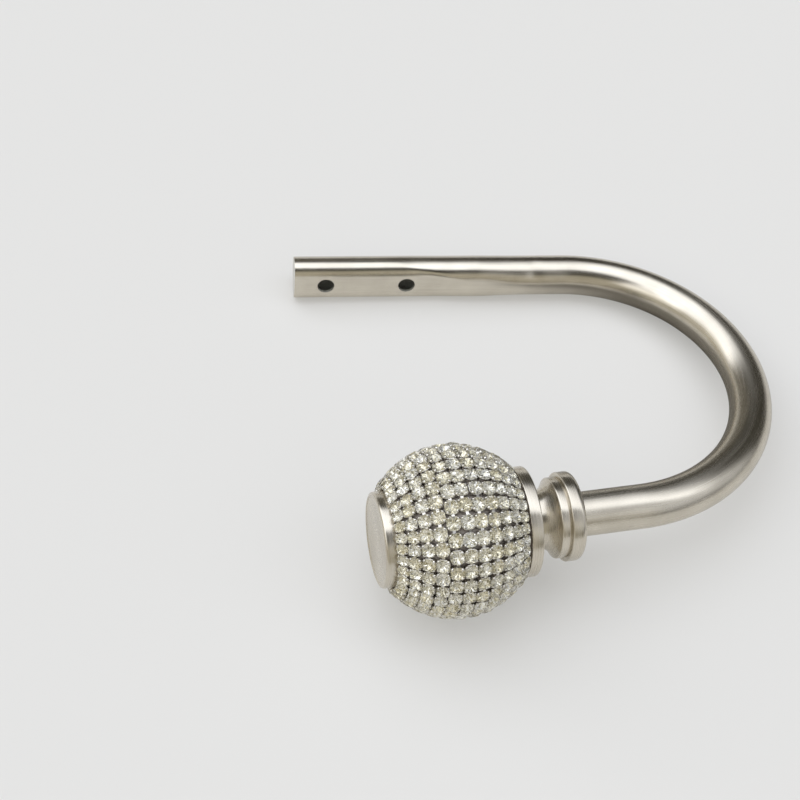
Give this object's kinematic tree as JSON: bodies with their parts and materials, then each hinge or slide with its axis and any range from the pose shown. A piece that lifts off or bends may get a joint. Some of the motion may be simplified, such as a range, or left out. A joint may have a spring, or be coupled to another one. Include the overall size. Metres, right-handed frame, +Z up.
{
  "type": "curtain holdback",
  "caption": "U-shaped curtain holdback: bent tube hook with a pressed, screw-drilled wall arm and a collared ball finial covered in rhinestones, for holding a drawn curtain aside.",
  "frame": {"origin": "midway between the two screw holes, on the pressed flat of the wall arm where the screw heads seat", "axes": "+X along the wall arm towards the bend, +Y towards the wall along the screws, +Z up, square to the plane of the hook"},
  "size_m": [0.1433, 0.137, 0.0486],
  "materials": {
    "satin_nickel": "satin",
    "zinc_plated_steel": "plain",
    "dark_moulding": "matte",
    "rhinestone": "faceted"
  },
  "bodies": {
    "root": {"hook_tube": "satin_nickel", "tube_end_plug": "satin_nickel", "tube_insert": "zinc_plated_steel", "threaded_stud": "zinc_plated_steel", "collar": "satin_nickel", "ball_core": "dark_moulding", "rhinestone_band_collar_side": "rhinestone", "rhinestone_band_cap_side": "rhinestone", "end_cap": "satin_nickel"}
  },
  "joints": []
}
